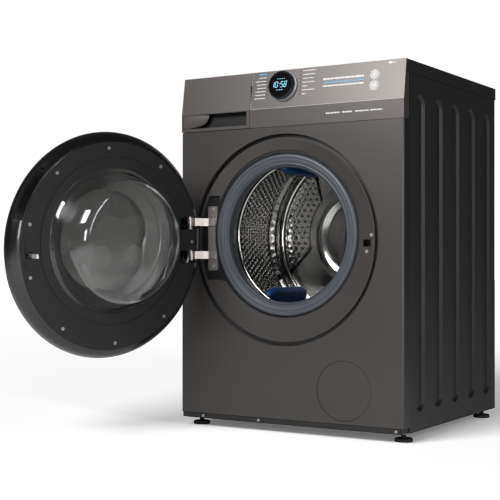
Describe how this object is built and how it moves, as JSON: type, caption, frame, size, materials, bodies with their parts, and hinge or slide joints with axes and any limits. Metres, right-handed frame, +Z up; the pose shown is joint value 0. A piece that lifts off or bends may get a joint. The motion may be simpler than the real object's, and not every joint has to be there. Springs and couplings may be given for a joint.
{
  "type": "front load washing machine",
  "caption": "Front load washing machine with open porthole door, steel drum, detergent drawer and sloping control panel.",
  "frame": {"origin": "on the floor, centred on the cabinet width, in the plane of the front panel", "axes": "+X to the right seen from the front, +Y from the front panel into the machine, +Z up"},
  "size_m": [0.7205, 1.0692, 0.85],
  "materials": {
    "front_paint": "satin metallic grey",
    "side_paint": "fine textured black",
    "zinc_sheet": "zinc coated",
    "board": "black laminate on chipboard",
    "grey_plastic": "satin",
    "dark_plastic": "satin",
    "black_gloss": "gloss",
    "light_plastic": "satin",
    "tub_plastic": "moulded",
    "blue_plastic": "satin",
    "silver_plastic": "silver",
    "grey_rubber": "satin",
    "black_rubber": "matt",
    "clear_glass": "clear",
    "smoked_glass": "smoked",
    "display_glass": "gloss with light digits",
    "drum_steel": "polished stainless",
    "hinge_steel": "bright",
    "cast_weight": "cast",
    "cast_alloy": "cast",
    "dark_steel": "oiled",
    "spring_steel": "drawn"
  },
  "bodies": {
    "cabinet": {"side_panel_left": "side_paint", "side_panel_right": "side_paint", "rear_panel": "zinc_sheet", "rear_cover": "dark_plastic", "base_frame": "dark_plastic", "front_panel": "front_paint", "plinth_strip": "dark_plastic", "cabinet_screws": "hinge_steel", "worktop": "board", "control_fascia": "grey_plastic", "control_board": "dark_plastic", "display_lens": "display_glass", "dispenser_housing": "light_plastic", "inlet_valve": "light_plastic", "door_lock": "dark_plastic", "hinge_plate": "hinge_steel", "hinge_pin": "hinge_steel", "bezel_ring": "grey_plastic", "drain_pump": "light_plastic", "damper_cylinders": "dark_plastic", "lock_nuts": "hinge_steel", "drain_outlet": "light_plastic", "mains_gland": "dark_plastic", "tub_springs": "spring_steel", "door_gasket": "grey_rubber", "sump_hose": "black_rubber"},
    "tub": {"tub_front": "tub_plastic", "tub_rear": "tub_plastic", "counterweights": "cast_weight", "heater": "hinge_steel", "motor_body": "cast_alloy", "drive_belt": "black_rubber", "drum_bearings": "dark_steel", "shaft_seal": "black_rubber", "damper_rods": "spring_steel"},
    "drum": {"drum_shell": "drum_steel", "drum_back": "drum_steel", "drum_spider": "cast_alloy", "drum_lifters": "blue_plastic", "drum_pulley": "cast_alloy"},
    "rotor": {"motor_rotor": "dark_steel"},
    "door": {"door_rim": "black_gloss", "door_window": "smoked_glass", "door_inner_frame": "dark_plastic", "door_bowl": "clear_glass", "door_trim_ring": "silver_plastic", "door_hinge_leaf": "hinge_steel", "door_screws": "hinge_steel"},
    "hook": {"door_hook": "hinge_steel"},
    "drawer": {"drawer_tray": "light_plastic", "drawer_front": "grey_plastic"},
    "dial": {"dial_ring": "silver_plastic"},
    "upper_key": {"power_key": "dark_plastic"},
    "lower_key": {"start_key": "dark_plastic"},
    "flap": {"service_cover": "grey_plastic"},
    "filter": {"filter_cap": "dark_plastic"},
    "foot_fl": {"foot_front_left": "black_rubber"},
    "foot_fr": {"foot_front_right": "black_rubber"},
    "foot_rl": {"foot_rear_left": "black_rubber"},
    "foot_rr": {"foot_rear_right": "black_rubber"}
  },
  "joints": [
    {"name": "door_hinge", "type": "hinge", "parent": "cabinet", "child": "door", "pos_m": [-0.2515, -0.028, 0.457], "axis": [0, -0.0604, 0.9982], "range_deg": [-10, 108]},
    {"name": "hook_catch", "type": "hinge", "parent": "door", "child": "hook", "pos_m": [-0.379, -0.4612, 0.41595], "axis": [0.0574, -0.0789, 0.9952], "range_deg": [-8, 8], "stiffness_Nm_per_rad": 0.6},
    {"name": "tub_bounce", "type": "slide", "parent": "cabinet", "child": "tub", "axis": [0, 0, 1], "range_m": [-0.007, 0.007], "stiffness_N_per_m": 15000, "springref_m": 0.02368, "deforming": ["tub_springs", "door_gasket", "sump_hose"]},
    {"name": "drum_spin", "type": "hinge", "parent": "tub", "child": "drum", "pos_m": [-0.012, 0.25, 0.464], "axis": [0, 1, 0], "continuous": true},
    {"name": "motor_spin", "type": "hinge", "parent": "tub", "child": "rotor", "pos_m": [0.06, 0.4, 0.128], "axis": [0, 1, 0], "continuous": true},
    {"name": "drawer_slide", "type": "slide", "parent": "cabinet", "child": "drawer", "axis": [0, -1, 0], "range_m": [0, 0.22]},
    {"name": "dial_turn", "type": "hinge", "parent": "cabinet", "child": "dial", "pos_m": [-0.012, 0.00756, 0.81044], "axis": [0, -0.9889, 0.1483], "continuous": true},
    {"name": "power_press", "type": "slide", "parent": "cabinet", "child": "upper_key", "axis": [0, 0.9889, -0.1483], "range_m": [0, 0.001], "stiffness_N_per_m": 800},
    {"name": "start_press", "type": "slide", "parent": "cabinet", "child": "lower_key", "axis": [0, 0.9889, -0.1483], "range_m": [0, 0.001], "stiffness_N_per_m": 800},
    {"name": "flap_hinge", "type": "hinge", "parent": "cabinet", "child": "flap", "pos_m": [0.1485, 0.0002, 0.043], "axis": [1, 0, 0], "range_deg": [0, 95]},
    {"name": "filter_turn", "type": "hinge", "parent": "cabinet", "child": "filter", "pos_m": [0.148, 0.03, 0.105], "axis": [0, -1, 0], "range_deg": [0, 120]},
    {"name": "foot_front_left_screw", "type": "slide", "parent": "cabinet", "child": "foot_fl", "axis": [0, 0, 1], "range_m": [-0.012, 0.006]},
    {"name": "foot_front_right_screw", "type": "slide", "parent": "cabinet", "child": "foot_fr", "axis": [0, 0, 1], "range_m": [-0.012, 0.006]},
    {"name": "foot_rear_left_screw", "type": "slide", "parent": "cabinet", "child": "foot_rl", "axis": [0, 0, 1], "range_m": [-0.012, 0.006]},
    {"name": "foot_rear_right_screw", "type": "slide", "parent": "cabinet", "child": "foot_rr", "axis": [0, 0, 1], "range_m": [-0.012, 0.006]}
  ],
  "couplings": [
    {"joint": "motor_spin", "follows": "drum_spin", "ratio": 12.727}
  ]
}
